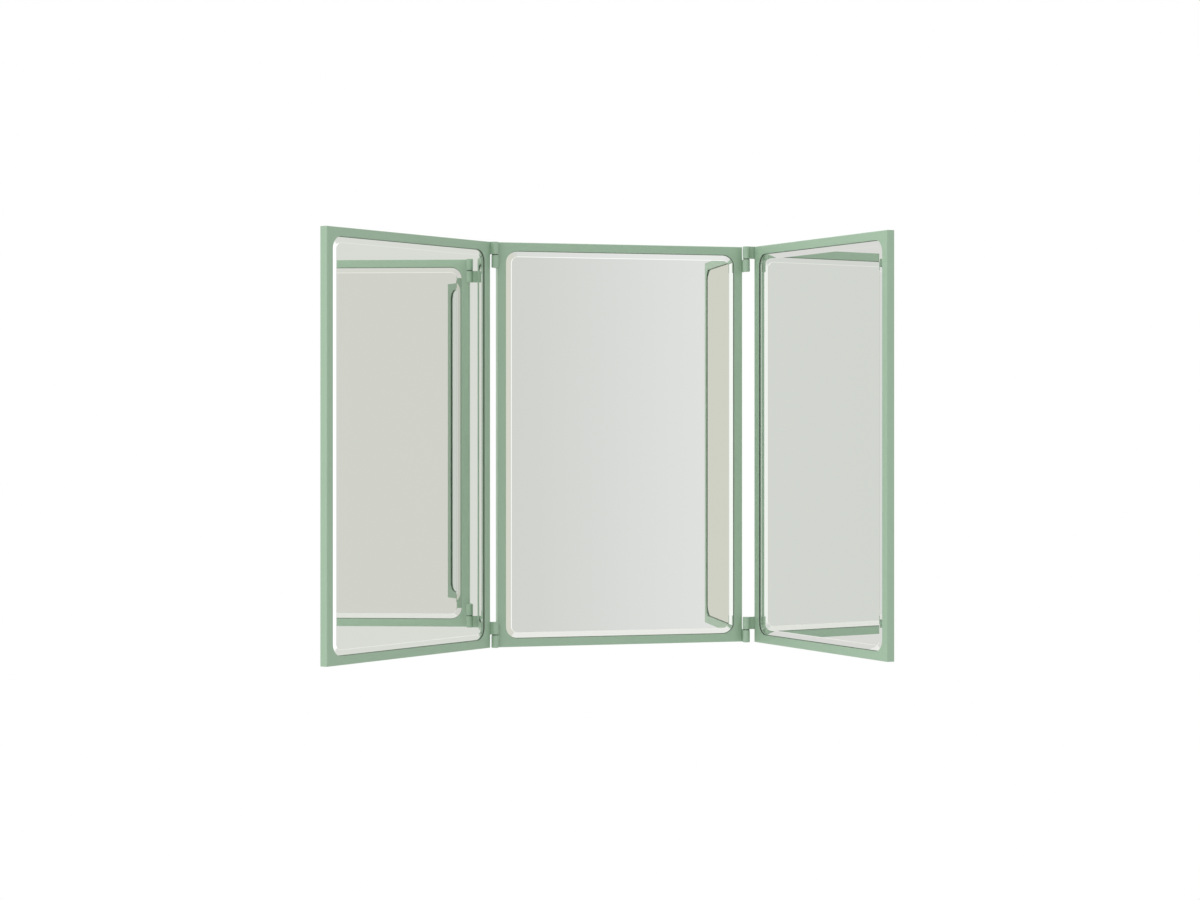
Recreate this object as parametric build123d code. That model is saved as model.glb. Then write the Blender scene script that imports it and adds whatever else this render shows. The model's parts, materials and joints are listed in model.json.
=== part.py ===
from build123d import *
import os

# A wall mirror in three panels. The middle panel hangs on the wall and a wing swings on two barrel
# hinges at each side of it. The left wing closes over the middle panel, and the right wing closes
# over the left one, so the right barrels stand further in front.
#
# All sizes are in millimetres and all angles in degrees.
# +X runs to the right, +Y into the wall and +Z up. The origin is on the line between the two hanging
# holes, in the middle, on the back plane of the middle panel.
# "Depth" is a distance forward from the back plane of a panel, so a depth d lies at y = -d.

# Panels
PANEL_HEIGHT = 500.0
CENTRE_WIDTH = 320.0
WING_NARROWER = 6.0
PANEL_DEPTH = 10.0

# Folded steel frame
SHEET = 2.0
FACE_WIDTH = 10.5
WINDOW_RADIUS = 15.0
FOLD_RADIUS = 1.0
INNER_FOLD_RADIUS = 0.6
CORNER_RADIUS = 0.5

# Bevelled mirror glass, whose edge is covered by the frame's face
GLASS_THICKNESS = 4.0
GLASS_COVER = 5.0
BEVEL_WIDTH = 12.5
BEVEL_DROP = 2.0
GLASS_CLEARANCE = 0.1

# Backing board and the foam strips between it and the glass
BOARD_THICKNESS = 2.5
BOARD_RECESS = 1.5
BOARD_CLEARANCE = 0.5
BOARD_CORNER_RADIUS = 1.5
STRIP_WIDTH = 15.0
STRIP_SPACING = 90.0
STRIP_END_GAP = 30.0

# Hexagonal threaded bosses in the corners, and their screws
BOSS_ACROSS_CORNERS = 7.0
BOSS_FROM_WALL = 6.0
SCREW_DIAMETER = 3.0
SCREW_CLEARANCE = 0.15
SCREW_TIP_GAP = 0.8
SCREW_HEAD_DIAMETER = 5.6
PAN_HEAD_HEIGHT = 1.3
PAN_HEAD_CHAMFER = 0.5
CROSS_WIDTH = 0.9
CROSS_LENGTH = 3.0
CROSS_DEPTH = 0.8
CROSS_TAPER = 12.0

# Corner plates on the back of the middle panel, two of them with a keyhole
PLATE_LEG = 80.0
PLATE_GAP = 0.3
PLATE_TIP_RADIUS = 5.0
KEYHOLE_FROM_SIDE = 26.0
KEYHOLE_FROM_TOP = 32.0
KEYHOLE_DIAMETER = 10.0
KEYHOLE_SLOT = 5.0
KEYHOLE_TRAVEL = 12.0
POCKET_MARGIN = 8.0
POCKET_RADIUS = 4.0

# Rubber pads between the plates and the wall
PAD_DIAMETER = 12.0
PAD_THICKNESS = 2.0
PAD_FROM_SIDE = 50.0
PAD_FROM_EDGE = 13.0
PAD_CHAMFER = 0.6

# Barrel hinges
BARREL_DIAMETER = 9.0
KNUCKLE_LENGTH = 15.5
KNUCKLE_CHAMFER = 0.6
LEAF_THICKNESS = 2.0
LEAF_CLEARANCE = 0.6
LEAF_BACK_GAP = 1.0
LEAF_CORNER_RADIUS = 2.0
PIN_DIAMETER = 5.0
PIN_RUNNING_GAP = 0.05
PIN_SEAT_GAP = 0.02
PIN_TIP_GAP = 1.0
PIN_TIP_CHAMFER = 1.0
KNUCKLE_CAP = 2.0
WASHER_DIAMETER = 8.0
WASHER_THICKNESS = 0.8
WASHER_GAP = 0.1

# How far the glass faces and the stacked panels stay apart when both wings are closed
LEFT_CLOSED_GAP = 7.8
NEST_GAP = 3.2

# How far each wing is swung forward from flat, as it is shown
LEFT_FOLD = 39.5
RIGHT_FOLD = 81.0

# Sizes that follow from the ones above. A closed wing ends short of the hinges on the far side.
WING_WIDTH = CENTRE_WIDTH - WING_NARROWER
INNER_HALF_HEIGHT = PANEL_HEIGHT / 2 - SHEET
PANEL_CENTRE_Z = KEYHOLE_FROM_TOP - INNER_HALF_HEIGHT
FACE_BACK = PANEL_DEPTH - SHEET
COVERED_DROP = BEVEL_DROP * (BEVEL_WIDTH - GLASS_COVER) / BEVEL_WIDTH
GLASS_FRONT = FACE_BACK + COVERED_DROP - GLASS_CLEARANCE
GLASS_BACK = GLASS_FRONT - GLASS_THICKNESS
BOARD_BACK = BOARD_RECESS
BOARD_FRONT = BOARD_BACK + BOARD_THICKNESS
BARREL_RADIUS = BARREL_DIAMETER / 2
PIN_RADIUS = PIN_DIAMETER / 2
KEYHOLE_X = CENTRE_WIDTH / 2 - SHEET - KEYHOLE_FROM_SIDE

# Where each hinge axis stands: outside the edge of the middle panel, and in front of its face.
# The left barrel is tangent to the panel's edge. The right leaf fits between the open panels.
LEFT_AXIS_OUT = BARREL_RADIUS
LEFT_AXIS_FRONT = LEFT_CLOSED_GAP / 2
RIGHT_AXIS_OUT = LEAF_THICKNESS / 2 + LEAF_CLEARANCE
RIGHT_AXIS_FRONT = (LEFT_CLOSED_GAP + PANEL_DEPTH + NEST_GAP) / 2


def at_depth(depth, sketch):
    """A sketch drawn in X and Z, placed at a depth forward from the back plane."""
    return Plane.XZ.offset(depth) * sketch


def between(back, front, sketch):
    """A sketch drawn in X and Z, made solid between two depths."""
    return extrude(at_depth(back, sketch), amount=front - back)


def four_corners(width, inset):
    """The places of something that sits in each inner corner of a panel's pan."""
    reach_x = width / 2 - SHEET - inset
    reach_z = INNER_HALF_HEIGHT - inset
    return [(sx * reach_x, sz * reach_z) for sx in (-1, 1) for sz in (-1, 1)]


# Frames

def frame_pan(width):
    """A steel pan: a front face with a rounded window, and four sides folded back from it."""
    pan = between(0, PANEL_DEPTH, Rectangle(width, PANEL_HEIGHT))
    pan = fillet(pan.edges().filter_by(Axis.Y), CORNER_RADIUS)
    pan = fillet(pan.faces().sort_by(Axis.Y)[0].edges(), FOLD_RADIUS)
    hollow = between(0, FACE_BACK, Rectangle(width - 2 * SHEET, PANEL_HEIGHT - 2 * SHEET))
    hollow = fillet(hollow.faces().sort_by(Axis.Y)[0].edges(), INNER_FOLD_RADIUS)
    window = RectangleRounded(width - 2 * FACE_WIDTH, PANEL_HEIGHT - 2 * FACE_WIDTH, WINDOW_RADIUS)
    return pan - hollow - between(FACE_BACK - SHEET, PANEL_DEPTH + SHEET, window)


def corner_bosses(width):
    """Four hexagonal bosses, welded behind the frame's face, clear of the glass's round corners."""
    hexagon = RegularPolygon(BOSS_ACROSS_CORNERS / 2, 6)
    boss = between(BOARD_FRONT, FACE_BACK, hexagon - Circle(SCREW_DIAMETER / 2 + SCREW_CLEARANCE))
    return [Pos(x, 0, z) * boss for x, z in four_corners(width, BOSS_FROM_WALL)]


# Glass and what holds it from behind

def bevelled_glass(width):
    """A mirror with rounded corners and a wide flat bevel that follows them."""
    glass_width = width - 2 * FACE_WIDTH + 2 * GLASS_COVER
    glass_height = PANEL_HEIGHT - 2 * FACE_WIDTH + 2 * GLASS_COVER
    radius = WINDOW_RADIUS + GLASS_COVER
    outline = RectangleRounded(glass_width, glass_height, radius)
    flat = RectangleRounded(
        glass_width - 2 * BEVEL_WIDTH, glass_height - 2 * BEVEL_WIDTH, radius - BEVEL_WIDTH
    )
    edge = GLASS_FRONT - BEVEL_DROP
    bevel = loft([at_depth(edge, outline).face(), at_depth(GLASS_FRONT, flat).face()], ruled=True)
    return between(GLASS_BACK, edge, outline) + bevel


def foam_strips():
    """Three upright strips of foam tape between the glass and the board."""
    length = 2 * (INNER_HALF_HEIGHT - STRIP_END_GAP)
    strip = between(BOARD_FRONT, GLASS_BACK, Rectangle(STRIP_WIDTH, length))
    return [Pos(i * STRIP_SPACING, 0, 0) * strip for i in (-1, 0, 1)]


def keyhole_outline():
    """A round entry with a slot that runs up from it to a round end."""
    slot = Pos(0, KEYHOLE_TRAVEL / 2) * Rectangle(KEYHOLE_SLOT, KEYHOLE_TRAVEL)
    end = Pos(0, KEYHOLE_TRAVEL) * Circle(KEYHOLE_SLOT / 2)
    return Circle(KEYHOLE_DIAMETER / 2) + slot + end


def backing_board(width, pockets=False):
    """The hardboard back, with screw holes in its corners and pockets behind the keyholes."""
    outline = RectangleRounded(
        width - 2 * (SHEET + BOARD_CLEARANCE),
        PANEL_HEIGHT - 2 * (SHEET + BOARD_CLEARANCE),
        BOARD_CORNER_RADIUS,
    )
    hole = Circle(SCREW_DIAMETER / 2 + SCREW_CLEARANCE)
    for x, z in four_corners(width, BOSS_FROM_WALL):
        outline -= Pos(x, z) * hole
    if pockets:
        pocket_width = KEYHOLE_DIAMETER + 2 * POCKET_MARGIN
        pocket_height = pocket_width + KEYHOLE_TRAVEL
        pocket = RectangleRounded(pocket_width, pocket_height, POCKET_RADIUS)
        for side in (-1, 1):
            outline -= Pos(side * KEYHOLE_X, KEYHOLE_TRAVEL / 2 - PANEL_CENTRE_Z) * pocket
    return between(BOARD_BACK, BOARD_FRONT, outline)


# Screws

def cross_recess(head_back):
    """The cross cut into a screw's head, with sides that taper towards its bottom."""
    arm = Rectangle(CROSS_LENGTH, CROSS_WIDTH) + Rectangle(CROSS_WIDTH, CROSS_LENGTH)
    return extrude(at_depth(head_back, arm), amount=CROSS_DEPTH, taper=CROSS_TAPER)


def screw_shank(head_front):
    """A screw's shank, which ends short of the frame's face."""
    return between(head_front, FACE_BACK - SCREW_TIP_GAP, Circle(SCREW_DIAMETER / 2))


def pan_screws(width):
    """Four flat pan-head screws that hold the board to the bosses."""
    head_back = BOARD_BACK - PAN_HEAD_HEIGHT
    head = between(head_back, BOARD_BACK, Circle(SCREW_HEAD_DIAMETER / 2))
    head = chamfer(head.faces().sort_by(Axis.Y)[-1].edges(), PAN_HEAD_CHAMFER)
    screw = head + screw_shank(BOARD_BACK) - cross_recess(head_back)
    return [Pos(x, 0, z) * screw for x, z in four_corners(width, BOSS_FROM_WALL)]


def countersink(clearance):
    """The cone of a countersunk head, flush with the back of the plate."""
    wide = at_depth(0, Circle(SCREW_HEAD_DIAMETER / 2 + clearance)).face()
    narrow = at_depth(BOARD_BACK, Circle(SCREW_DIAMETER / 2 + clearance)).face()
    return loft([wide, narrow], ruled=True)


def countersunk_screws(width):
    """Four countersunk screws through the corner plates and the board into the bosses."""
    screw = countersink(0) + screw_shank(BOARD_BACK) - cross_recess(0)
    return [Pos(x, 0, z) * screw for x, z in four_corners(width, BOSS_FROM_WALL)]


# Plates and pads on the back of the middle panel

def corner_plate(keyhole):
    """A triangular plate for the top left corner, seen from the front, flush with the frame's back."""
    corner_x = SHEET + PLATE_GAP - CENTRE_WIDTH / 2
    corner_z = INNER_HALF_HEIGHT - PLATE_GAP
    outline = make_face(
        Polyline(
            (corner_x, corner_z),
            (corner_x + PLATE_LEG, corner_z),
            (corner_x, corner_z - PLATE_LEG),
            close=True,
        )
    )
    tips = outline.vertices().sort_by(Axis.X)[-1:] + outline.vertices().sort_by(Axis.Y)[:1]
    outline = fillet(tips, PLATE_TIP_RADIUS)
    if keyhole:
        outline -= Pos(-KEYHOLE_X, -PANEL_CENTRE_Z) * keyhole_outline()
    screw_x = SHEET + BOSS_FROM_WALL - CENTRE_WIDTH / 2
    screw_z = INNER_HALF_HEIGHT - BOSS_FROM_WALL
    return between(0, BOARD_BACK, outline) - Pos(screw_x, 0, screw_z) * countersink(SCREW_CLEARANCE)


def wall_pads():
    """Four rubber pads, one on each corner plate, with a bevelled rim on the wall side."""
    pad = extrude(Plane.XZ * Circle(PAD_DIAMETER / 2), amount=-PAD_THICKNESS)
    pad = chamfer(pad.faces().sort_by(Axis.Y)[-1].edges(), PAD_CHAMFER)
    reach_x = CENTRE_WIDTH / 2 - SHEET - PAD_FROM_SIDE
    reach_z = INNER_HALF_HEIGHT - PAD_FROM_EDGE
    return [Pos(sx * reach_x, 0, sz * reach_z) * pad for sx in (-1, 1) for sz in (-1, 1)]


# Hinges. Each is drawn with its axis on the Z axis, for the right edge of the middle panel, with the
# bottom of the fixed knuckle at z = 0. The edge of the panel is then at x = -out and its front
# face at y = front, and the wing's knuckle is the mirror image.

def knuckle(out, front, base, bore_up):
    """Half a barrel with its leaf. The leaf lies on the panel's edge and runs into the barrel."""
    barrel = extrude(Plane.XY.offset(base) * Circle(BARREL_RADIUS), amount=KNUCKLE_LENGTH)
    barrel = chamfer(barrel.edges().filter_by(GeomType.CIRCLE), KNUCKLE_CHAMFER)
    reach = front + PANEL_DEPTH - LEAF_BACK_GAP
    leaf = Box(LEAF_THICKNESS, reach, KNUCKLE_LENGTH, align=Align.MIN)
    leaf = fillet(leaf.edges().filter_by(Axis.X).sort_by(Axis.Y)[-2:], LEAF_CORNER_RADIUS)
    depth = KNUCKLE_LENGTH - KNUCKLE_CAP
    bore_radius = PIN_RADIUS + (PIN_RUNNING_GAP if bore_up else PIN_SEAT_GAP)
    bore_base = base if bore_up else base + KNUCKLE_CAP
    bore = extrude(Plane.XY.offset(bore_base) * Circle(bore_radius), amount=depth)
    return barrel + Pos(-out, 0, base) * leaf - bore


def hinge(out, front):
    """The four pieces of one hinge: fixed knuckle, wing knuckle, pin and washer."""
    wing_base = KNUCKLE_LENGTH + WASHER_THICKNESS + WASHER_GAP
    fixed = knuckle(out, front, 0, bore_up=False)
    wing = mirror(knuckle(out, front, wing_base, bore_up=True), about=Plane.YZ)
    pin_length = wing_base + KNUCKLE_LENGTH - 2 * KNUCKLE_CAP - PIN_TIP_GAP
    pin = extrude(Plane.XY.offset(KNUCKLE_CAP) * Circle(PIN_RADIUS), amount=pin_length)
    pin = chamfer(pin.edges().filter_by(GeomType.CIRCLE).sort_by(Axis.Z)[-1], PIN_TIP_CHAMFER)
    ring = Circle(WASHER_DIAMETER / 2) - Circle(PIN_RADIUS + PIN_RUNNING_GAP)
    washer = extrude(Plane.XY.offset(KNUCKLE_LENGTH) * ring, amount=WASHER_THICKNESS)
    return {"fixed_knuckle": fixed, "wing_knuckle": wing, "pin": pin, "washer": washer}


HINGE_LENGTH = 2 * KNUCKLE_LENGTH + WASHER_THICKNESS + WASHER_GAP


# Assembly

SIDES = {
    "left": {"sign": -1, "out": LEFT_AXIS_OUT, "front": LEFT_AXIS_FRONT, "fold": LEFT_FOLD},
    "right": {"sign": 1, "out": RIGHT_AXIS_OUT, "front": RIGHT_AXIS_FRONT, "fold": RIGHT_FOLD},
}


def axis_place(side):
    """Where the hinge axis of a side crosses the row's XY plane."""
    return (
        side["sign"] * (CENTRE_WIDTH / 2 + side["out"]),
        -PANEL_DEPTH - side["front"],
    )


def swung(side, piece):
    """A piece of a wing, swung forward about its hinge axis from flat to the angle shown."""
    x, y = axis_place(side)
    turn = -side["sign"] * side["fold"]
    return Pos(x, y, 0) * Rot(0, 0, turn) * Pos(-x, -y, 0) * piece


def panel_pieces(width):
    """The pieces that all three panels have, in the panel's own frame."""
    return {
        "frame": [frame_pan(width)],
        "corner_bosses": corner_bosses(width),
        "mirror_glass": [bevelled_glass(width)],
        "foam_strips": foam_strips(),
    }


def build():
    """All nodes by name, each a list of its solids."""
    up = Pos(0, 0, PANEL_CENTRE_Z)
    nodes = {}

    centre = panel_pieces(CENTRE_WIDTH)
    centre["backing_board"] = [backing_board(CENTRE_WIDTH, pockets=True)]
    centre["corner_screws"] = countersunk_screws(CENTRE_WIDTH)
    for name, solids in centre.items():
        nodes["centre_" + name] = [up * solid for solid in solids]
    for name, side in SIDES.items():
        hanger = corner_plate(keyhole=True)
        plain = mirror(corner_plate(keyhole=False), about=Plane.XY)
        if side["sign"] > 0:
            hanger = mirror(hanger, about=Plane.YZ)
            plain = mirror(plain, about=Plane.YZ)
        nodes[name + "_hanger_plate"] = [up * hanger]
        nodes[name + "_corner_plate"] = [up * plain]
    nodes["wall_pads"] = [up * pad for pad in wall_pads()]

    for name, side in SIDES.items():
        wing = panel_pieces(WING_WIDTH)
        wing["backing_board"] = [backing_board(WING_WIDTH)]
        wing["corner_screws"] = pan_screws(WING_WIDTH)
        offset = CENTRE_WIDTH / 2 + 2 * side["out"] + WING_WIDTH / 2
        flat = up * Pos(side["sign"] * offset, 0, 0)
        for piece, solids in wing.items():
            nodes[name + "_" + piece] = [swung(side, flat * solid) for solid in solids]

        bottom = PANEL_CENTRE_Z - PANEL_HEIGHT / 2
        top = PANEL_CENTRE_Z + PANEL_HEIGHT / 2 - HINGE_LENGTH
        x, y = axis_place(side)
        for level, z in (("top", top), ("bottom", bottom)):
            for piece, solid in hinge(side["out"], side["front"]).items():
                if side["sign"] < 0:
                    solid = mirror(solid, about=Plane.YZ)
                placed = Pos(x, y, z) * solid
                if piece == "wing_knuckle":
                    placed = swung(side, placed)
                nodes[level + "_" + name + "_" + piece] = [placed]
    return nodes


os.makedirs("parts", exist_ok=True)
for node, solids in build().items():
    bodies = [body for solid in solids for body in solid.solids()]
    shape = bodies[0] if len(bodies) == 1 else Compound(children=bodies)
    export_step(shape, "parts/" + node + ".step")
print("left axis", axis_place(SIDES["left"]), "right axis", axis_place(SIDES["right"]))
print("panel centre z", PANEL_CENTRE_Z, "keyhole x", KEYHOLE_X)
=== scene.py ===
# %% [markdown]
# A wall mirror in three panels. The middle panel hangs on the wall and two wings fold forward on small
# barrel hinges. Each panel is a bevelled mirror glass in a thin folded steel frame with a sage green
# powder coat. The construction comes in as a fixed frame, and every visible piece is finished around it.

# %% The fixed frame
import json
import math

import bmesh
import bpy
from mathutils import Matrix, Vector


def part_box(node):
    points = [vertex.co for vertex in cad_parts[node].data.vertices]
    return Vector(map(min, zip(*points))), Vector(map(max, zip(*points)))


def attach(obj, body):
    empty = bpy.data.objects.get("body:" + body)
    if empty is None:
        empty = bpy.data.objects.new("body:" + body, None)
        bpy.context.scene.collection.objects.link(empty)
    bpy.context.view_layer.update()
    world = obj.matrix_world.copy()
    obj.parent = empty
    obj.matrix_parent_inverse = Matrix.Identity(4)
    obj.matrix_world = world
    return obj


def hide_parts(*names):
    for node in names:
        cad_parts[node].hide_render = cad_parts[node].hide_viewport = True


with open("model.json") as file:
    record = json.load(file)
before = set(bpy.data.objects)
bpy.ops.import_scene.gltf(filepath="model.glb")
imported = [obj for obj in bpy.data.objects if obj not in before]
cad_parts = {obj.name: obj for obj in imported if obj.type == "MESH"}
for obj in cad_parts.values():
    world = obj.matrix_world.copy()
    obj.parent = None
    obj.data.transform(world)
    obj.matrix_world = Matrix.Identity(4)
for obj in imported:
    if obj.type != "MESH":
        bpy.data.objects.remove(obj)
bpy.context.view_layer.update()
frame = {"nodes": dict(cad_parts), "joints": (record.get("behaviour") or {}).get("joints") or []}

# %% [markdown]
# The camera comes first, because every choice of light and finish is judged through it. It stands to
# the left of the mirror, a little above its middle, and looks level, turned to the right. A long lens
# keeps the panels' sides nearly parallel, and a small shift frames the object.

# %% Camera
CAMERA_PLACE = (-0.9773, -3.1482, -0.1945)
CAMERA_TURN = math.radians(-16.04)
CAMERA_SHIFT = (0.03, -0.0189)
IMAGE_WIDTH = 1200
FOCAL_PIXELS = 2627.8
SENSOR = 36.0

camera_data = bpy.data.cameras.new("camera")
camera_data.sensor_width = SENSOR
camera_data.lens = FOCAL_PIXELS / IMAGE_WIDTH * SENSOR
camera_data.shift_x, camera_data.shift_y = CAMERA_SHIFT
camera = bpy.data.objects.new("camera", camera_data)
camera.location = CAMERA_PLACE
camera.rotation_euler = (math.radians(90), 0, CAMERA_TURN)
bpy.context.scene.collection.objects.link(camera)
bpy.context.scene.camera = camera
bpy.context.scene.view_settings.view_transform = "Standard"
print("lens", round(camera_data.lens, 1), "mm")

# %% [markdown]
# Shader maths reads best as plain expressions. This small class wraps one output socket, and an
# expression on it adds the Math nodes. Any other node comes from its one method, which sets the node's
# options first and then the values or links of its sockets.

# %% Shader helper
class Wire:
    """One output socket of a node tree. Arithmetic on it adds Math nodes."""

    def __init__(self, tree, socket):
        self.tree = tree
        self.socket = socket

    @classmethod
    def node(cls, tree, kind, settings=None, inputs=None, output=0):
        """Adds a node, sets its options, then its sockets, and returns one of its outputs."""
        made = tree.nodes.new(kind)
        for name, value in (settings or {}).items():
            if name == "stops":
                cls.set_stops(made.color_ramp, value)
            else:
                setattr(made, name, value)
        for name, value in (inputs or {}).items():
            if isinstance(value, Wire):
                tree.links.new(value.socket, made.inputs[name])
            else:
                made.inputs[name].default_value = value
        return cls(tree, made.outputs[output]) if made.outputs else None

    @staticmethod
    def set_stops(ramp, stops):
        """Gives a colour ramp its stops, a list of (position, colour)."""
        while len(ramp.elements) > 1:
            ramp.elements.remove(ramp.elements[-1])
        position, color = stops[0]
        ramp.elements[0].position = position
        ramp.elements[0].color = (*color, 1)
        for position, color in stops[1:]:
            ramp.elements.new(position).color = (*color, 1)

    def maths(self, operation, other, swapped=False):
        """A Math node on this wire and another value, with the two in the other order if swapped."""
        pair = {0: other, 1: self} if swapped else {0: self, 1: other}
        return self.node(self.tree, "ShaderNodeMath", {"operation": operation}, pair)

    def __add__(self, other):
        return self.maths("ADD", other)

    def __radd__(self, other):
        return self.maths("ADD", other, swapped=True)

    def __sub__(self, other):
        return self.maths("SUBTRACT", other)

    def __rsub__(self, other):
        return self.maths("SUBTRACT", other, swapped=True)

    def __mul__(self, other):
        return self.maths("MULTIPLY", other)

    def __rmul__(self, other):
        return self.maths("MULTIPLY", other, swapped=True)

    def __truediv__(self, other):
        return self.maths("DIVIDE", other)

    def __rtruediv__(self, other):
        return self.maths("DIVIDE", other, swapped=True)


print("a socket on which arithmetic adds Math nodes")

# %% [markdown]
# Every finish here is made of the same few things: smooth noise at the scale of the real texture, two
# colours blended by it, and a bump that follows it. The noise reads the place on the object in metres,
# so its scale is a number of bumps for a metre.

# %% Noise, colours and bumps
MIX_FACTOR = 0
MIX_FIRST = 6
MIX_SECOND = 7
MIX_COLOR = 2
print("a mix of colours reads sockets", MIX_FIRST, "and", MIX_SECOND)


def noise(tree, place, scale, detail=2.0, stretch=(1, 1, 1)):
    """Smooth noise from 0 to 1 at a number of bumps for a metre, drawn out where stretch is small."""
    moved = Wire.node(tree, "ShaderNodeMapping", inputs={"Vector": place, "Scale": stretch})
    inputs = {"Vector": moved, "Scale": scale, "Detail": detail}
    return Wire.node(tree, "ShaderNodeTexNoise", inputs=inputs)


def blend_colors(tree, factor, first, second):
    """A colour between two others."""
    inputs = {MIX_FACTOR: factor, MIX_FIRST: (*first, 1), MIX_SECOND: (*second, 1)}
    return Wire.node(tree, "ShaderNodeMix", {"data_type": "RGBA"}, inputs, output=MIX_COLOR)


def bumped(tree, height, depth):
    """A surface normal that follows a height, where depth is the size of the relief in metres."""
    return Wire.node(tree, "ShaderNodeBump", inputs={"Height": height, "Distance": depth, "Strength": 1.0})


def new_material(name, make):
    """A material whose sockets come from a function of the tree and the place on the object."""
    material = bpy.data.materials.new(name)
    material.use_nodes = True
    tree = material.node_tree
    tree.nodes.clear()
    place = Wire.node(tree, "ShaderNodeTexCoord", output="Object")
    surface = Wire.node(tree, "ShaderNodeBsdfPrincipled", inputs=make(tree, place))
    Wire.node(tree, "ShaderNodeOutputMaterial", inputs={"Surface": surface})
    print(name, "has", len(tree.nodes), "nodes")
    return material


# %% [markdown]
# Powder coat is baked paint. It is never quite smooth: it has a fine orange peel about a millimetre
# across and a few hundredths deep, a satin gloss, and a tone that drifts very slightly from place to
# place where the coat is thicker.

# %% Powder coat
SAGE = (0.290, 0.428, 0.306)
SAGE_THICK = (0.266, 0.402, 0.284)
PEEL_PER_METRE = 700
GRAIN_PER_METRE = 2100
DRIFT_PER_METRE = 14
PEEL_DEPTH = 0.00004
SATIN = 0.30
SATIN_SWING = 0.12
COAT_SHINE = 0.9


def powder_coat(tree, place):
    peel = noise(tree, place, PEEL_PER_METRE)
    drift = noise(tree, place, DRIFT_PER_METRE)
    grain = noise(tree, place, GRAIN_PER_METRE, detail=1.0)
    return {
        "Base Color": blend_colors(tree, drift * 0.7 + grain * 0.3, SAGE, SAGE_THICK),
        "Roughness": SATIN + peel * SATIN_SWING,
        "Specular IOR Level": COAT_SHINE,
        "Normal": bumped(tree, peel + grain * 0.3, PEEL_DEPTH),
    }


coat = new_material("sage_powder_coat", powder_coat)

# %% [markdown]
# A mirror is silver seen through clear glass, so it is a metal with a faint green tint. Real glass is
# never perfectly clean: faint wipe marks make it a touch rougher in long streaks. The polished bevel is
# the same silver, set at an angle, so it needs no other finish. The back of the silver is painted grey.

# %% Mirror and the paint on its back
SILVER = (0.905, 0.918, 0.900)
SILVER_WIPED = (0.890, 0.905, 0.886)
WIPES_PER_METRE = 9
UPRIGHT_STREAKS = (1, 1, 0.15)
WIPE_HAZE = 0.012
PAINT_GREYS = (0.20, 0.21, 0.22), (0.26, 0.27, 0.28)
MOTTLE_PER_METRE = 60


def silvered_glass(tree, place):
    streaks = noise(tree, place, WIPES_PER_METRE, detail=3.0, stretch=UPRIGHT_STREAKS)
    return {
        "Base Color": blend_colors(tree, streaks, SILVER, SILVER_WIPED),
        "Metallic": 1.0,
        "Roughness": streaks * WIPE_HAZE,
    }


def backing_paint(tree, place):
    mottle = noise(tree, place, MOTTLE_PER_METRE)
    return {"Base Color": blend_colors(tree, mottle, *PAINT_GREYS), "Roughness": 0.6}


mirror = new_material("silvered_glass", silvered_glass)
mirror_back = new_material("backing_paint", backing_paint)

# %% [markdown]
# Hardboard is pressed wood fibre, brown, with short fibres lying every way. Noise that is distorted by
# itself curls like such fibres, finer noise adds the flecks, and a colour ramp gives three browns.

# %% Hardboard
BROWNS = [(0.36, (0.125, 0.064, 0.030)), (0.5, (0.200, 0.110, 0.055)), (0.64, (0.275, 0.162, 0.084))]
FIBRES = {"Scale": 150, "Detail": 8.0, "Roughness": 0.65, "Distortion": 3.0}
FLECKS_PER_METRE = 700
BOARD_CLOUDS_PER_METRE = 14
FIBRE_DEPTH = 0.00006


def hardboard(tree, place):
    fibres = Wire.node(tree, "ShaderNodeTexNoise", inputs={"Vector": place, **FIBRES})
    flecks = noise(tree, place, FLECKS_PER_METRE, detail=5.0)
    cloud = noise(tree, place, BOARD_CLOUDS_PER_METRE)
    mixed = fibres * 0.5 + flecks * 0.35 + cloud * 0.15
    return {
        "Base Color": Wire.node(tree, "ShaderNodeValToRGB", {"stops": BROWNS}, {"Fac": mixed}),
        "Roughness": 0.5 + fibres * 0.2,
        "Normal": bumped(tree, mixed, FIBRE_DEPTH),
    }


board_finish = new_material("hardboard", hardboard)

# %% [markdown]
# The plates are cut from rolled sheet and zinc plated, so they have a faint grain along one way and a
# cloudy grey. The screws have the same plating without the grain. The pins are turned steel, with fine
# rings round them.

# %% Zinc and steel
SHEET_ZINC = (0.50, 0.51, 0.53), (0.62, 0.63, 0.63)
SCREW_ZINC = (0.58, 0.59, 0.62), (0.70, 0.70, 0.70)
TURNED_GREYS = (0.50, 0.50, 0.51), (0.60, 0.60, 0.60)
ROLLED_PER_METRE = 500
ROLLED_ALONG_X = (0.06, 1, 1)
ZINC_CLOUDS_PER_METRE = 45
SCREW_CLOUDS_PER_METRE = 600
RINGS_PER_METRE = 2200
RINGS_ROUND_Z = (0.05, 0.05, 1)
ROLLED_DEPTH = 0.00001
RING_DEPTH = 0.000005


def zinc_sheet(tree, place):
    rolled = noise(tree, place, ROLLED_PER_METRE, detail=3.0, stretch=ROLLED_ALONG_X)
    cloud = noise(tree, place, ZINC_CLOUDS_PER_METRE)
    return {
        "Base Color": blend_colors(tree, cloud, *SHEET_ZINC),
        "Metallic": 1.0,
        "Roughness": 0.26 + rolled * 0.2,
        "Normal": bumped(tree, rolled, ROLLED_DEPTH),
    }


def zinc_screw(tree, place):
    cloud = noise(tree, place, SCREW_CLOUDS_PER_METRE)
    return {
        "Base Color": blend_colors(tree, cloud, *SCREW_ZINC),
        "Metallic": 1.0,
        "Roughness": 0.2 + cloud * 0.18,
    }


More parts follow.
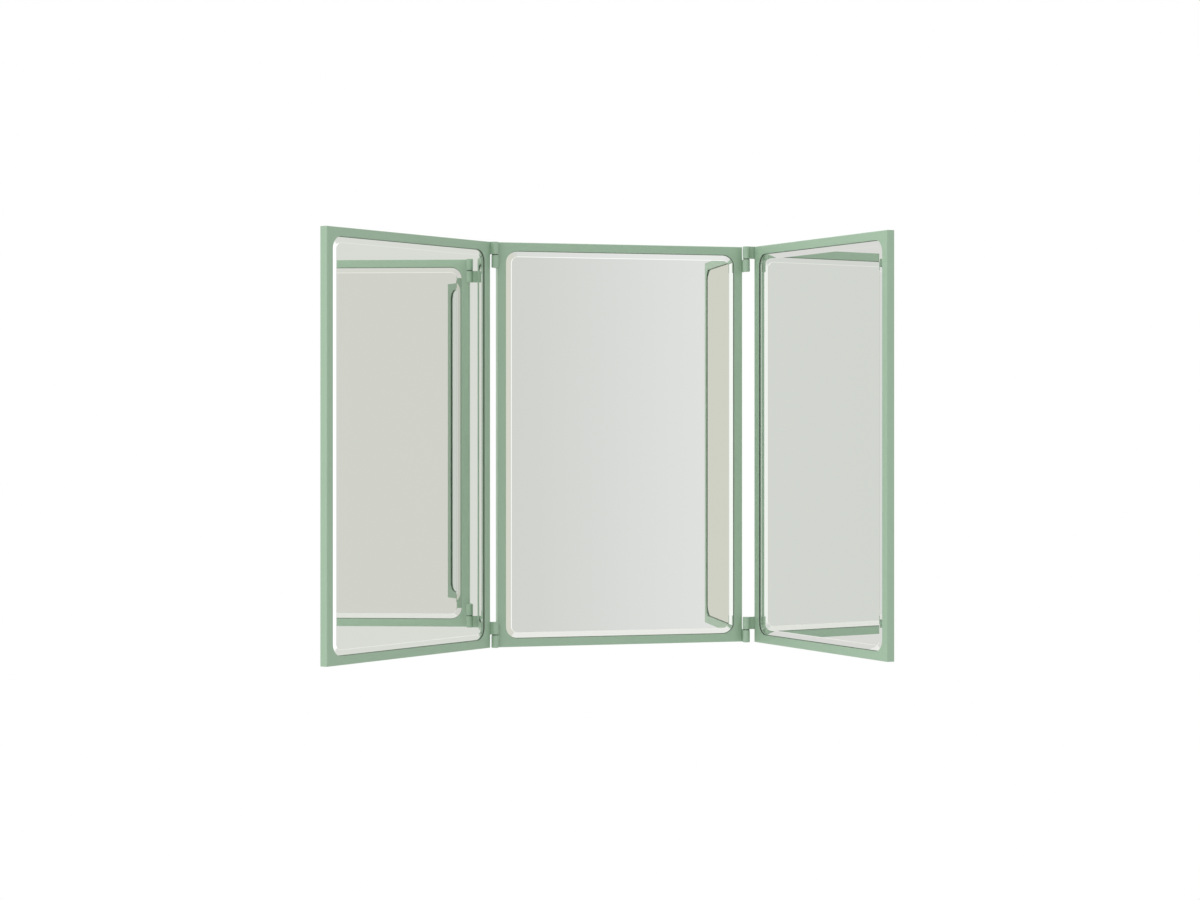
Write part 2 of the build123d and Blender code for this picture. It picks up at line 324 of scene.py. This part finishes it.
def turned_steel(tree, place):
    rings = noise(tree, place, RINGS_PER_METRE, stretch=RINGS_ROUND_Z)
    return {
        "Base Color": blend_colors(tree, rings, *TURNED_GREYS),
        "Metallic": 1.0,
        "Roughness": 0.2 + rings * 0.15,
        "Normal": bumped(tree, rings, RING_DEPTH),
    }


plate_finish = new_material("zinc_sheet", zinc_sheet)
screw_finish = new_material("zinc_screw", zinc_screw)
pin_finish = new_material("turned_steel", turned_steel)

# %% [markdown]
# The washers are smooth black nylon, the wall pads are matt black rubber with a little dust, the seals
# round the glasses are a dark grey green that is painted shade, the shadow in the groove, and the
# mounting tape is white foam with open cells. They differ mostly in how rough they are, so each has
# its own scale and depth of noise.

# %% Nylon, rubber, seal and foam
NYLON_BLACKS = (0.020, 0.021, 0.020), (0.036, 0.037, 0.036)
RUBBER_BLACKS = (0.022, 0.022, 0.023), (0.052, 0.051, 0.049)
# The seal's dark grey greens are painted shade, the shadow in the groove round each glass.
SEAL_SHADE_DARKS = (0.030, 0.040, 0.032), (0.050, 0.062, 0.052)
FOAM_WHITES = (0.66, 0.66, 0.63), (0.80, 0.80, 0.78)
NYLON_PER_METRE = 1500
RUBBER_PER_METRE = 1800
DUST_PER_METRE = 160
SEAL_DUST_PER_METRE = 400
CELLS_PER_METRE = 1300
NYLON_DEPTH = 0.00001
RUBBER_DEPTH = 0.00004
CELL_DEPTH = 0.0001


def black_nylon(tree, place):
    matt = noise(tree, place, NYLON_PER_METRE)
    return {
        "Base Color": blend_colors(tree, matt, *NYLON_BLACKS),
        "Roughness": 0.42 + matt * 0.16,
        "Normal": bumped(tree, matt, NYLON_DEPTH),
    }


def black_rubber(tree, place):
    grain = noise(tree, place, RUBBER_PER_METRE, detail=4.0)
    dust = noise(tree, place, DUST_PER_METRE)
    return {
        "Base Color": blend_colors(tree, dust, *RUBBER_BLACKS),
        "Roughness": 0.72 + grain * 0.18,
        "Normal": bumped(tree, grain, RUBBER_DEPTH),
    }


# Painted shade: the seal is coloured as the shadow in the groove between frame and glass.
def painted_shade_seal(tree, place):
    dust = noise(tree, place, SEAL_DUST_PER_METRE)
    return {"Base Color": blend_colors(tree, dust, *SEAL_SHADE_DARKS), "Roughness": 0.5}


def white_foam(tree, place):
    cells = noise(tree, place, CELLS_PER_METRE, detail=3.0)
    return {
        "Base Color": blend_colors(tree, cells, *FOAM_WHITES),
        "Roughness": 0.95,
        "Normal": bumped(tree, cells, CELL_DEPTH),
    }


washer_finish = new_material("black_nylon", black_nylon)
pad_finish = new_material("black_rubber", black_rubber)
seal_shade_finish = new_material("painted_shade_seal", painted_shade_seal)
foam_finish = new_material("white_foam", white_foam)

# %% [markdown]
# Each panel is drawn flat, in its own frame, with X to the right, Z up and the back plane at y = 0.
# A depth is a distance forward from that plane. A wing is then put beside the middle panel and turned
# about its hinge axis by the angle that its joint can still open, which is how far it is folded now.

# %% Where the panels stand
SHEET = 0.002
PANEL_DEPTH = 0.010
FACE_WIDTH = 0.0105
WINDOW_RADIUS = 0.015
WING_NARROWER = 0.006

low, high = (Vector(corner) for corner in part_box("centre_frame"))
PANEL_WIDTH = high.x - low.x
PANEL_HEIGHT = high.z - low.z
PANEL_MIDDLE = Matrix.Translation((0, 0, (low.z + high.z) / 2))
WING_WIDTH = PANEL_WIDTH - WING_NARROWER

panels = {"centre": {"width": PANEL_WIDTH, "place": PANEL_MIDDLE, "body": "centre"}}
for joint in frame["joints"]:
    side = joint["name"].split("_")[0]
    sign = -1 if side == "left" else 1
    axis = Vector((joint["pos_m"][0], joint["pos_m"][1], 0))
    shift = sign * WING_WIDTH / 2 + 2 * axis.x - sign * PANEL_WIDTH / 2
    fold = math.radians(-joint["range_deg"][0]) * joint["axis"][2]
    turn = Matrix.Translation(axis) @ Matrix.Rotation(fold, 4, "Z") @ Matrix.Translation(-axis)
    place = turn @ Matrix.Translation((shift, 0, 0)) @ PANEL_MIDDLE
    panels[side] = {"width": WING_WIDTH, "place": place, "body": side + "_wing"}
    print(side, "wing folded by", round(math.degrees(abs(fold)), 1), "degrees")

# %% [markdown]
# Most of this mirror is rounded rectangles stacked in depth, so one loft makes the frame, the glass and
# its seal. Each station is a plate with bevelled corners, of which only the outline is kept, and
# neighbouring outlines are bridged. All outlines have as many points, so the faces run straight.

# %% Loft of rounded rectangles
CORNER_STEPS = 14
SMALLEST_RADIUS = 0.00005
UPRIGHT = Matrix.Rotation(math.radians(90), 3, "X")


def outline(bm, width, height, radius, depth):
    """A rounded rectangle at a depth, as the edges round one face, and that face."""
    points = bmesh.ops.create_grid(bm, x_segments=1, y_segments=1, size=0.5)["verts"]
    bmesh.ops.scale(bm, vec=(width, height, 1), verts=points)
    bmesh.ops.rotate(bm, cent=(0, 0, 0), matrix=UPRIGHT, verts=points)
    bmesh.ops.translate(bm, vec=(0, -depth, 0), verts=points)
    rounded = bmesh.ops.bevel(
        bm, geom=points, offset=max(radius, SMALLEST_RADIUS), offset_type="OFFSET", affect="VERTICES",
        segments=CORNER_STEPS, profile=0.5, material=-1,
    )
    face = next(face for point in rounded["verts"] for face in point.link_faces)
    return list(face.edges), face


def loft(bm, stations, width, closed=False):
    """Bridges rounded rectangles, each given as (inset, corner radius, depth). A closed loft joins the
    last to the first, an open one keeps a face at each end and returns the first of them."""
    rows = []
    for inset, radius, depth in stations:
        rows.append(outline(bm, width - 2 * inset, PANEL_HEIGHT - 2 * inset, radius, depth))
    first_face = rows[0][1]
    pairs = list(zip(rows, rows[1:]))
    if closed:
        pairs.append((rows[-1], rows[0]))
    across = [face for _, face in (rows if closed else rows[1:-1])]
    bmesh.ops.delete(bm, geom=across, context="FACES_ONLY")
    for (near, _), (far, _) in pairs:
        bmesh.ops.bridge_loops(bm, edges=near + far)
    bmesh.ops.recalc_face_normals(bm, faces=bm.faces)
    return None if closed else first_face


def arc(radius, steps):
    """Points round a quarter circle, as (how far in, how far forward), from the side to the front."""
    turns = [step / steps * math.pi / 2 for step in range(steps + 1)]
    return [(radius * (1 - math.cos(turn)), radius * math.sin(turn)) for turn in turns]


print(len(arc(1, CORNER_STEPS)), "points round each corner")

# %% [markdown]
# Round parts have to look round and flats have to look flat. Faces are smooth, edges are sharp where the
# surface turns by more than a set angle, and a Weighted Normal modifier lets the large flats decide the
# shading, so that the small folds beside them take all of the bend.

# %% Shading and placing
SHARP_ANGLE = math.radians(24)


def finish_shading(bm, sharp=SHARP_ANGLE):
    """Smooth faces, with sharp edges wherever the surface turns by more than an angle."""
    for face in bm.faces:
        face.smooth = True
    for edge in bm.edges:
        edge.smooth = len(edge.link_faces) == 2 and edge.calc_face_angle() < sharp


def new_piece(name, bm, place, body, materials, nodes=()):
    """Turns a bmesh into a piece at its place, which rides on a body and stands for CAD nodes."""
    bmesh.ops.transform(bm, matrix=place, verts=bm.verts)
    mesh = bpy.data.meshes.new(name)
    bm.to_mesh(mesh)
    bm.free()
    for material in materials:
        mesh.materials.append(material)
    piece = bpy.data.objects.new(name, mesh)
    bpy.context.scene.collection.objects.link(piece)
    piece.modifiers.new("flats", "WEIGHTED_NORMAL").keep_sharp = True
    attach(piece, body)
    if nodes:
        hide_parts(*nodes)
    print(name, "has", len(mesh.polygons), "faces")


def panel_piece(panel, bm, name, materials, nodes=()):
    """A piece that was drawn flat, put where its panel stands."""
    new_piece(name, bm, panel["place"], panel["body"], materials, nodes)


# %% [markdown]
# The frame is one sheet: a face with a rounded window, folded back on four sides. Walked round its
# section, it goes up the outside, over the fold, across the face, round the window's edge, back along
# the inside of the face and down the inside of the fold. The window's edge is softened by the coat.

# %% Frames
FOLD_RADIUS = 0.001
INNER_FOLD_RADIUS = 0.0006
OUTER_CORNER = 0.0005
WINDOW_EDGE = 0.0003
REAR_EDGE = 0.0002
FOLD_STEPS = 5
EDGE_STEPS = 3
FACE_BACK = PANEL_DEPTH - SHEET


def frame_stations():
    stations = []
    for inward, forward in arc(REAR_EDGE, EDGE_STEPS)[::-1]:
        stations.append((inward, OUTER_CORNER, REAR_EDGE - forward))
    for inward, forward in arc(FOLD_RADIUS, FOLD_STEPS):
        stations.append((inward, OUTER_CORNER - inward, PANEL_DEPTH - FOLD_RADIUS + forward))
    for inward, forward in arc(WINDOW_EDGE, EDGE_STEPS)[::-1]:
        depth = PANEL_DEPTH - WINDOW_EDGE + forward
        stations.append((FACE_WIDTH - inward, WINDOW_RADIUS + inward, depth))
    stations.append((FACE_WIDTH, WINDOW_RADIUS, FACE_BACK))
    for inward, forward in arc(INNER_FOLD_RADIUS, EDGE_STEPS)[::-1]:
        stations.append((SHEET + inward, SMALLEST_RADIUS, FACE_BACK - INNER_FOLD_RADIUS + forward))
    stations.append((SHEET, SMALLEST_RADIUS, 0))
    return stations


for name, panel in panels.items():
    steel = bmesh.new()
    loft(steel, frame_stations(), panel["width"], closed=True)
    finish_shading(steel)
    panel_piece(panel, steel, name + "_steel_frame", [coat], [name + "_frame"])

# %% [markdown]
# The glass is four millimetres thick, and its bevel is ground so wide that it still shows for seven
# millimetres beside the frame. The ridge where it meets the flat is polished to a narrow steeper facet,
# and that facet is what catches the light. The rear edge under the frame has a small ground chamfer.

# %% Mirror glass
GLASS_COVER = 0.005
GLASS_THICKNESS = 0.004
BEVEL_WIDTH = 0.0125
BEVEL_DROP = 0.002
GLASS_CLEARANCE = 0.0001
EDGE_CHAMFER = 0.0004
RIDGE_WIDTH = 0.0008
RIDGE_DROP = 0.00023
RIDGE_ANGLE = math.radians(3)
BEVEL_SLOPE = BEVEL_DROP / BEVEL_WIDTH


def glass_stations():
    front = FACE_BACK + BEVEL_SLOPE * (BEVEL_WIDTH - GLASS_COVER) - GLASS_CLEARANCE
    back = front - GLASS_THICKNESS
    rim = FACE_WIDTH - GLASS_COVER
    radius = WINDOW_RADIUS + GLASS_COVER
    flat = rim + BEVEL_WIDTH
    flat_radius = radius - BEVEL_WIDTH
    return [
        (rim + EDGE_CHAMFER, radius - EDGE_CHAMFER, back),
        (rim, radius, back + EDGE_CHAMFER),
        (rim, radius, front - BEVEL_DROP),
        (flat - RIDGE_WIDTH, flat_radius + RIDGE_WIDTH, front - RIDGE_DROP),
        (flat, flat_radius, front),
    ]


for name, panel in panels.items():
    glass = bmesh.new()
    loft(glass, glass_stations(), panel["width"]).material_index = 1
    finish_shading(glass, RIDGE_ANGLE)
    materials = [mirror, mirror_back]
    panel_piece(panel, glass, name + "_bevelled_glass", materials, [name + "_mirror_glass"])

# %% [markdown]
# A thin seal fills the groove between the window's edge and the glass. Its dark grey green is painted
# shade: it stands for the shadow that lies in that groove. It hardly shows from the front, but seen at a
# slant its side is doubled by its own reflection, and it draws the fine dark line of shade that sets the
# glass of each wing off from its frame.

# %% Seals
SEAL_WIDTH = 0.0002
SEAL_HEIGHT = 0.0006
SEAL_UNDER = 0.0010
SEAL_ROUND = 0.0001
SEAL_CLEARANCE = 0.00003


def seal_stations():
    glass_at_window = FACE_BACK - GLASS_CLEARANCE + SEAL_CLEARANCE
    inner = FACE_WIDTH + SEAL_WIDTH
    outer = FACE_WIDTH - SEAL_UNDER
    beside_edge = FACE_WIDTH + SEAL_CLEARANCE
    inner_radius = WINDOW_RADIUS - SEAL_WIDTH
    outer_radius = WINDOW_RADIUS + SEAL_UNDER
    edge_radius = WINDOW_RADIUS - SEAL_CLEARANCE
    under_face = FACE_BACK - SEAL_CLEARANCE
    crown = FACE_BACK + SEAL_HEIGHT
    return [
        (outer, outer_radius, glass_at_window - SEAL_UNDER * BEVEL_SLOPE),
        (inner, inner_radius, glass_at_window + SEAL_WIDTH * BEVEL_SLOPE),
        (inner, inner_radius, crown - SEAL_ROUND),
        (inner - SEAL_ROUND, inner_radius + SEAL_ROUND, crown),
        (beside_edge, edge_radius, crown),
        (beside_edge, edge_radius, under_face),
        (outer, outer_radius, under_face),
    ]


for name, panel in panels.items():
    seal = bmesh.new()
    loft(seal, seal_stations(), panel["width"], closed=True)
    finish_shading(seal)
    panel_piece(panel, seal, name + "_glass_seal", [seal_shade_finish])

# %% [markdown]
# The hinges, plates, pins and washers are right as they were built, but they come in as loose triangles
# with a hard edge at each one. A copy is merged, its flat areas are left flat and its round ones are
# shaded smooth, and it takes the node's place.

# %% Smooth copies of the built pieces
MERGE = 0.000002


def smooth_copy(node, body, material):
    bm = bmesh.new()
    bm.from_mesh(frame["nodes"][node].data)
    bmesh.ops.remove_doubles(bm, verts=bm.verts, dist=MERGE)
    finish_shading(bm)
    new_piece(node + "_finished", bm, Matrix(), body, [material], [node])


for side in ("left", "right"):
    for level in ("top", "bottom"):
        stem = level + "_" + side + "_"
        smooth_copy(stem + "fixed_knuckle", "centre", coat)
        smooth_copy(stem + "wing_knuckle", side + "_wing", coat)
        smooth_copy(stem + "pin", "centre", pin_finish)
        smooth_copy(stem + "washer", "centre", washer_finish)
    smooth_copy(side + "_hanger_plate", "centre", plate_finish)
    smooth_copy(side + "_corner_plate", "centre", plate_finish)
for name, panel in panels.items():
    smooth_copy(name + "_corner_bosses", panel["body"], coat)
    smooth_copy(name + "_backing_board", panel["body"], board_finish)
    smooth_copy(name + "_foam_strips", panel["body"], foam_finish)

# %% [markdown]
# A pan-head screw is a low dome with a cross recess. The head is spun from half of its outline, and the
# cross is cut by a Boolean modifier whose result is kept, so that the piece is plain mesh. Countersunk
# heads are the same with a flat top and a cone below.

# %% Screw shapes
SCREW_RADIUS = 0.0015
SCREW_END = 0.0072
HEAD_RADIUS = 0.0028
HEAD_HEIGHT = 0.0013
DOME_HEIGHT = 0.0009
DOME_TURNS = (0, 0.35, 0.7, 1.05, 1.4, 1.57)
BOARD_BACK = 0.0015
CROSS_LENGTH = 0.0030
CROSS_WIDTH = 0.0009
CROSS_DEPTH = 0.0008
SPIN_STEPS = 40


def spin(bm, profile):
    """Spins a half outline, given as (radius, depth), about the panel's depth axis."""
    points = [bm.verts.new((radius, -depth, 0)) for radius, depth in profile]
    edges = [bm.edges.new(pair) for pair in zip(points, points[1:])]
    bmesh.ops.spin(
        bm, geom=points + edges, cent=(0, 0, 0), axis=(0, 1, 0), angle=2 * math.pi,
        steps=SPIN_STEPS, use_merge=True,
    )
    bmesh.ops.remove_doubles(bm, verts=bm.verts, dist=MERGE)
    bmesh.ops.recalc_face_normals(bm, faces=bm.faces)


def to_object(bm):
    """A helper object for the cut, which is removed again after it."""
    mesh = bpy.data.meshes.new("shape")
    bm.to_mesh(mesh)
    bm.free()
    part = bpy.data.objects.new("shape", mesh)
    bpy.context.scene.collection.objects.link(part)
    return part


def cut_cross(bm, top_depth):
    """Cuts a cross recess into the top of a head and returns the result as a mesh."""
    cutter = bmesh.new()
    for length, width in ((CROSS_LENGTH, CROSS_WIDTH), (CROSS_WIDTH, CROSS_LENGTH)):
        points = bmesh.ops.create_cube(cutter, size=1)["verts"]
        bmesh.ops.scale(cutter, vec=(length, 2 * CROSS_DEPTH, width), verts=points)
        bmesh.ops.translate(cutter, vec=(0, -top_depth, 0), verts=points)
    head = to_object(bm)
    tool = to_object(cutter)
    cut = head.modifiers.new("cross", "BOOLEAN")
    cut.operation = "DIFFERENCE"
    cut.solver = "EXACT"
    cut.use_self = True
    cut.object = tool
    seen_head = head.evaluated_get(bpy.context.evaluated_depsgraph_get())
    result = bpy.data.meshes.new_from_object(seen_head)
    for part in (head, tool):
        mesh = part.data
        bpy.data.objects.remove(part)
        bpy.data.meshes.remove(mesh)
    return result


def screw_mesh(top_depth, head):
    """A screw with a cross recess, from the half outline of its head."""
    bm = bmesh.new()
    spin(bm, head + [(SCREW_RADIUS, BOARD_BACK), (SCREW_RADIUS, SCREW_END), (0, SCREW_END)])
    return cut_cross(bm, top_depth)


pan_top = BOARD_BACK - HEAD_HEIGHT
dome = [(HEAD_RADIUS * math.sin(t), pan_top + DOME_HEIGHT * (1 - math.cos(t))) for t in DOME_TURNS]
pan_screw = screw_mesh(pan_top, dome + [(HEAD_RADIUS, BOARD_BACK)])
countersunk_screw = screw_mesh(0, [(0, 0), (HEAD_RADIUS, 0)])
print("screws of", len(pan_screw.polygons), "and", len(countersunk_screw.polygons), "faces")

# %% [markdown]
# Each panel has a screw in every corner. No two are driven to the same turn, so each copy is twisted
# by its own angle before it is put in its corner.

# %% Screws in the corners
BOSS_FROM_WALL = 0.006
FIRST_TWIST = 0.7
TWIST_STEP = 1.9
CORNERS = ((-1, -1), (-1, 1), (1, -1), (1, 1))

for name, panel in panels.items():
    one = countersunk_screw if name == "centre" else pan_screw
    reach_x = panel["width"] / 2 - SHEET - BOSS_FROM_WALL
    reach_z = PANEL_HEIGHT / 2 - SHEET - BOSS_FROM_WALL
    screws = bmesh.new()
    for number, (side, end) in enumerate(CORNERS):
        before = len(screws.verts)
        screws.from_mesh(one)
        screws.verts.ensure_lookup_table()
        added = screws.verts[before:]
        twist = Matrix.Rotation(FIRST_TWIST + TWIST_STEP * number, 3, "Y")
        bmesh.ops.rotate(screws, cent=(0, 0, 0), matrix=twist, verts=added)
        bmesh.ops.translate(screws, vec=(side * reach_x, 0, end * reach_z), verts=added)
    finish_shading(screws)
    panel_piece(panel, screws, name + "_screws", [screw_finish], [name + "_corner_screws"])
bpy.data.meshes.remove(pan_screw)
bpy.data.meshes.remove(countersunk_screw)

# %% [markdown]
# The wall pads are small moulded rubber discs with a soft rim and a shallow dish in the middle, so that
# they grip the wall at their edge. All four are spun from one half outline.

# %% Wall pads
PAD_RADIUS = 0.006
PAD_THICKNESS = 0.002
PAD_RIM = 0.0006
RIM_STEPS = 5
DISH_EDGE = 0.0042
DISH_FLOOR = 0.0036
DISH_DEPTH = 0.0004

rim = []
for inward, forward in arc(PAD_RIM, RIM_STEPS):
    rim.append((PAD_RADIUS - inward, PAD_RIM - PAD_THICKNESS - forward))
dish_depth = DISH_DEPTH - PAD_THICKNESS
dish = [(DISH_EDGE, -PAD_THICKNESS), (DISH_FLOOR, dish_depth), (0, dish_depth)]
pad_low, pad_high = (Vector(corner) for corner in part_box("wall_pads"))
pads = bmesh.new()
for x in (pad_low.x + PAD_RADIUS, pad_high.x - PAD_RADIUS):
    for z in (pad_low.z + PAD_RADIUS, pad_high.z - PAD_RADIUS):
        pad = bmesh.new()
        spin(pad, [(0, 0), (PAD_RADIUS, 0)] + rim + dish)
        bmesh.ops.translate(pad, vec=(x, 0, z), verts=pad.verts)
        one = bpy.data.meshes.new("one_pad")
        pad.to_mesh(one)
        pad.free()
        pads.from_mesh(one)
        bpy.data.meshes.remove(one)
finish_shading(pads)
new_piece("rubber_wall_pads", pads, Matrix(), "centre", [pad_finish], ["wall_pads"])

# %% [markdown]
# A mirror shows its surroundings, so the studio matters as much as the finish. What the mirrors see is
# painted on the sky by compass bearing, from the camera's side at 0 degrees to the right at 90. The
# walls are pale and get lighter at the right, and two tall soft windows are bright, one behind the
# camera and one at the right. The flats miss the windows, and the bevels catch them. Upwards the whole
# gets lighter.

# %% What the mirrors see
STUDIO = [
    (-180, (0.98, 0.98, 0.98)),
    (-156, (0.98, 0.98, 0.98)),
    (-147, (0.77, 0.76, 0.75)),
    (-125, (0.77, 0.77, 0.75)),
    (-76, (0.785, 0.775, 0.740)),
    (-60, (0.785, 0.785, 0.755)),
    (-43, (0.800, 0.805, 0.785)),
    (-25, (0.80, 0.81, 0.79)),
    (-20, (1.15, 1.15, 1.14)),
    (-13, (1.15, 1.15, 1.14)),
    (-8, (0.76, 0.75, 0.68)),
    (3, (0.74, 0.73, 0.66)),
    (10, (0.70, 0.70, 0.67)),
    (15, (0.70, 0.71, 0.685)),
    (19.5, (0.84, 0.84, 0.84)),
    (62, (0.82, 0.82, 0.82)),
    (67, (1.25, 1.25, 1.25)),
    (75, (1.25, 1.25, 1.25)),
    (80, (0.77, 0.78, 0.74)),
    (135, (0.77, 0.78, 0.74)),
    (155, (0.98, 0.98, 0.98)),
    (180, (0.98, 0.98, 0.98)),
]
FULL_TURN = 360
CEILING = 0.9
CEILING_FROM = 0.30

world = bpy.data.worlds.new("studio")
bpy.context.scene.world = world
world.use_nodes = True
sky = world.node_tree
sky.nodes.clear()
looking = Wire.node(sky, "ShaderNodeTexCoord", output="Generated")
east = Wire.node(sky, "ShaderNodeSeparateXYZ", inputs={0: looking}, output="X")
north = Wire.node(sky, "ShaderNodeSeparateXYZ", inputs={0: looking}, output="Y")
up = Wire.node(sky, "ShaderNodeSeparateXYZ", inputs={0: looking}, output="Z")

bearing = east.maths("ARCTAN2", 0 - north) / (2 * math.pi) + 0.5
stops = [(degrees / FULL_TURN + 0.5, color) for degrees, color in STUDIO]
walls = Wire.node(sky, "ShaderNodeValToRGB", {"stops": stops}, {"Fac": bearing})
lighter = (up - CEILING_FROM).maths("MAXIMUM", 0) * CEILING / (1 - CEILING_FROM) + 1.0
reflected = Wire.node(sky, "ShaderNodeBackground", inputs={"Color": walls, "Strength": lighter})
print("the studio has", len(STUDIO), "bearings and", len(sky.nodes), "nodes")

# %% [markdown]
# The coat is lit by plain soft light from all round. It is a little stronger from the left, from above
# and from both sides than from the front, which gives the folded panels their different tones. The
# camera sees plain white, and glossy and transmission rays see the studio.

# %% What lights the coat
LIGHT_FROM = Vector((-0.90, -0.15, 0.40)).normalized()
SOFT_LIGHT = 0.76
SOFT_SWING = 0.48
SIDE_LIGHT = 0.75
WHITE = (1, 1, 1, 1)
DAYLIGHT = (1, 0.99, 0.975, 1)

turned = {0: looking, 1: LIGHT_FROM}
toward = Wire.node(sky, "ShaderNodeVectorMath", {"operation": "DOT_PRODUCT"}, turned, output="Value")
soft = toward * SOFT_SWING + east * east * SIDE_LIGHT + SOFT_LIGHT
lit = Wire.node(sky, "ShaderNodeBackground", inputs={"Color": DAYLIGHT, "Strength": soft})
plain = Wire.node(sky, "ShaderNodeBackground", inputs={"Color": WHITE, "Strength": 1.0})
camera_ray = Wire.node(sky, "ShaderNodeLightPath", output="Is Camera Ray")
glossy_ray = Wire.node(sky, "ShaderNodeLightPath", output="Is Glossy Ray")
transmission_ray = Wire.node(sky, "ShaderNodeLightPath", output="Is Transmission Ray")
mirrored = glossy_ray + transmission_ray
unseen = Wire.node(sky, "ShaderNodeMixShader", inputs={0: mirrored, 1: lit, 2: reflected})
whole = Wire.node(sky, "ShaderNodeMixShader", inputs={0: camera_ray, 1: unseen, 2: plain})
Wire.node(sky, "ShaderNodeOutputWorld", inputs={"Surface": whole})
print("with its light the world has", len(sky.nodes), "nodes")

# %% [markdown]
# The mirror hangs on a wall, so the floor is a plain pale plane a metre below it. It isn't part of the
# object, and it only shows in views from above.

# %% Floor
FLOOR_DROP = 1.0
FLOOR_WIDTH = 6.0
FLOOR_CLOUDS_PER_METRE = 3
FLOOR_GREYS = (0.82, 0.82, 0.81), (0.86, 0.86, 0.85)


def pale_floor(tree, place):
    cloud = noise(tree, place, FLOOR_CLOUDS_PER_METRE)
    return {"Base Color": blend_colors(tree, cloud, *FLOOR_GREYS), "Roughness": 0.8}


plane = bmesh.new()
bmesh.ops.create_grid(plane, x_segments=1, y_segments=1, size=FLOOR_WIDTH / 2)
bmesh.ops.translate(plane, vec=(0, 0, low.z - FLOOR_DROP), verts=plane.verts)
floor_mesh = bpy.data.meshes.new("floor")
plane.to_mesh(floor_mesh)
plane.free()
floor_mesh.materials.append(new_material("pale_floor", pale_floor))
floor = bpy.data.objects.new("floor", floor_mesh)
bpy.context.scene.collection.objects.link(floor)
print("floor at height", round(low.z - FLOOR_DROP, 3))
